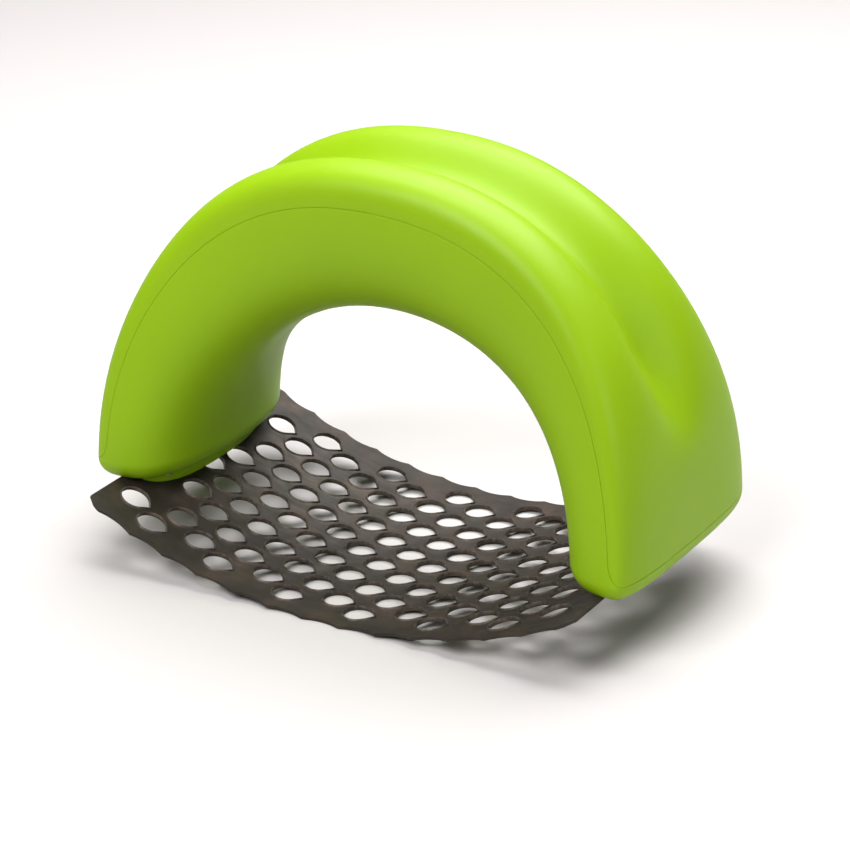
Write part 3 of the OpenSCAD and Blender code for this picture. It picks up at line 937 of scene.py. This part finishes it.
class PRESS_OT_screws(Operator):
    """Build the screws that join the shells and the screws that hold the blade"""

    bl_idname = "press.screws"
    bl_label = "Screws"

    def execute(self, context):
        settings = context.scene.press
        sizes, handle, blade = settings.screws, settings.handle, settings.blade
        material = zinc(settings.finish.zinc)
        tree = screw_tree(material, sizes.turns)
        x, z = handle.span / 2 - SHELL_SCREW_INSET, handle.lift + SHELL_SCREW_SEAT
        offsets = (-SHELL_SCREW_SPREAD, SHELL_SCREW_SPREAD)
        shell_places = [(side * x, handle.back + d, z) for side in (1, -1) for d in offsets]
        s = blade.radius * math.asin(blade.reach / blade.radius) - BLADE_SCREW_EDGE
        turn = s / blade.radius
        under = blade.radius + blade.sheet / 2
        blade_places = [
            (side * under * math.sin(turn), handle.back + d, under - under * math.cos(turn))
            for side in (1, -1)
            for d in (-BLADE_SCREW_SPREAD, BLADE_SCREW_SPREAD)
        ]
        shell_set = ("shell_screw_set", "shell_screws", shell_places, [0.0] * 4)
        blade_set = ("blade_screw_set", "blade_screws", blade_places, [-turn, -turn, turn, turn])
        for (name, node, places, turns), shank, size, (wide, tall) in (
            (shell_set, sizes.shell_shank, sizes.shell_length, SHELL_HEAD),
            (blade_set, sizes.blade_shank, sizes.blade_length, BLADE_HEAD),
        ):
            obj = bake(
                screw_points(name + "_points", places, turns),
                tree,
                {
                    "Shank": shank,
                    "Length": size,
                    "Head width": shank * wide,
                    "Head height": shank * tall,
                    "Thread pitch": sizes.thread,
                },
                name,
            )
            tidy_normals(obj, 35)
            settle(obj, "screw_steel", material, node)
        return {"FINISHED"}


# Stage


def area_light(name, place, aim, size, power, tint=(1, 1, 1)):
    light = bpy.data.lights.new(name, "AREA")
    light.shape, light.size, light.energy, light.color = "DISK", size, power, tint
    obj = bpy.data.objects.new(name, light)
    obj.location = place
    obj.rotation_euler = (Vector(aim) - Vector(place)).to_track_quat("-Z", "Y").to_euler()
    bpy.context.scene.collection.objects.link(obj)
    return obj


class PRESS_OT_stage(Operator):
    """Set out the pale board, the soft lights and the camera"""

    bl_idname = "press.stage"
    bl_label = "Stage"

    def execute(self, context):
        scene = context.scene
        settings = scene.press
        bpy.ops.mesh.primitive_grid_add(x_subdivisions=8, y_subdivisions=8, size=6)
        board = context.active_object
        board.name = "board"
        board.data.materials.append(board_finish(settings.finish.board))
        area_light("overhead", (0.0, 0.17, 0.42), (0, -0.01, 0.03), 0.5, 4.6)
        area_light("front_key", (-0.08, -0.45, 0.5), (0, 0.01, 0.03), 0.42, 5.0)
        area_light("right_fill", (0.7, -0.15, 0.3), (0, 0, 0.04), 0.4, 1.4)
        world = bpy.data.worlds.new("studio")
        world.use_nodes = True
        world.node_tree.nodes["Background"].inputs["Color"].default_value = (1, 1, 1, 1)
        world.node_tree.nodes["Background"].inputs["Strength"].default_value = 0.12
        scene.world = world
        scene.view_settings.view_transform = "Standard"

        azimuth, elevation = math.radians(30.05), math.radians(23.6)
        level = math.cos(elevation)
        back = Vector((math.sin(azimuth) * level, -math.cos(azimuth) * level, math.sin(elevation)))
        right = Vector((math.cos(azimuth), math.sin(azimuth), 0))
        up = back.cross(right)
        camera = bpy.data.objects.new("camera", bpy.data.cameras.new("camera"))
        aim = right * 3.25 * MM + up * 21.98 * MM - Vector((0, 1.6 * MM, 0))
        camera.location = aim + back * 552.8 * MM
        camera.rotation_euler = Matrix((right, up, back)).transposed().to_euler()
        camera.data.sensor_width = 36
        camera.data.lens = 36 * 3409.3 / 850
        camera.data.clip_start, camera.data.clip_end = 0.01, 20
        scene.collection.objects.link(camera)
        scene.camera = camera
        return {"FINISHED"}


class PressSettings(PropertyGroup):
    handle: PointerProperty(type=HandleSizes, name="Handle", description="Sizes of the handle")
    blade: PointerProperty(type=BladeSizes, name="Blade", description="Sizes of the blade")
    screws: PointerProperty(type=ScrewSizes, name="Screws", description="Sizes of the screws")
    finish: PointerProperty(type=Finishes, name="Finishes", description="Colours of the parts")


PIECES = (PRESS_OT_outer_shell, PRESS_OT_inner_shell, PRESS_OT_blade, PRESS_OT_screws, PRESS_OT_stage)


class PRESS_PT_sidebar(Panel):
    bl_idname = "PRESS_PT_sidebar"
    bl_label = "Garlic Press"
    bl_space_type = "VIEW_3D"
    bl_region_type = "UI"
    bl_category = "Garlic Press"

    def draw(self, context):
        layout = self.layout
        settings = context.scene.press
        for name in ("handle", "blade", "screws", "finish"):
            box = layout.box()
            box.label(text=name.capitalize())
            group = getattr(settings, name)
            for key in group.bl_rna.properties.keys():
                if key not in ("rna_type", "name"):
                    box.prop(group, key)
        for piece in PIECES:
            layout.operator(piece.bl_idname)


CLASSES = (HandleSizes, BladeSizes, ScrewSizes, Finishes, PressSettings, *PIECES, PRESS_PT_sidebar)


def register():
    for cls in CLASSES:
        bpy.utils.register_class(cls)
    bpy.types.Scene.press = PointerProperty(type=PressSettings)


def unregister():
    del bpy.types.Scene.press
    for cls in reversed(CLASSES):
        bpy.utils.unregister_class(cls)


def main():
    register()
    bpy.ops.press.outer_shell()
    bpy.ops.press.inner_shell()
    bpy.ops.press.blade()
    bpy.ops.press.screws()
    bpy.ops.press.stage()


if __name__ == "__main__":
    main()
